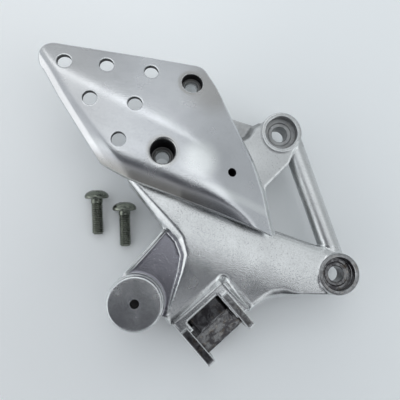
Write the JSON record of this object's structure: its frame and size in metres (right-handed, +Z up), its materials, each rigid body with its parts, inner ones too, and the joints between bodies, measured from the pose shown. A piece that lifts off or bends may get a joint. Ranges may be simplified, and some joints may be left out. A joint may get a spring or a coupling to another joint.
{
  "type": "motorcycle footrest hanger",
  "caption": "Right-hand cast aluminium footrest hanger with a perforated heel guard, counterbored frame bosses, an empty footrest clevis and its loose dome-headed frame screws.",
  "frame": {"origin": "middle of the footprint at table level, hanger lying on its back with its outer face up", "axes": "+Z up out of the hanger's outer face; +X towards the frame bosses; +Y from the footrest clevis towards the heel guard"},
  "size_m": [0.2016, 0.1922, 0.0624],
  "materials": {
    "cast_aluminium": "satin cast surface with worn bright edges",
    "satin_aluminium": "satin brushed, lightly scuffed",
    "zinc_steel": "olive zinc plating, worn shiny",
    "plain_steel": "bright zinc plating"
  },
  "bodies": {
    "hanger": {"hanger_bracket": "cast_aluminium", "heel_guard": "satin_aluminium", "guard_screw_1": "plain_steel", "guard_screw_2": "plain_steel"},
    "frame_screw_upper": {"frame_screw_upper": "zinc_steel"},
    "frame_screw_lower": {"frame_screw_lower": "zinc_steel"}
  },
  "joints": [
    {"name": "lift_frame_screw_upper", "type": "slide", "parent": "hanger", "child": "frame_screw_upper", "axis": [0, 0, 1], "range_m": [0, 0.06]},
    {"name": "lift_frame_screw_lower", "type": "slide", "parent": "hanger", "child": "frame_screw_lower", "axis": [0, 0, 1], "range_m": [0, 0.06]}
  ]
}
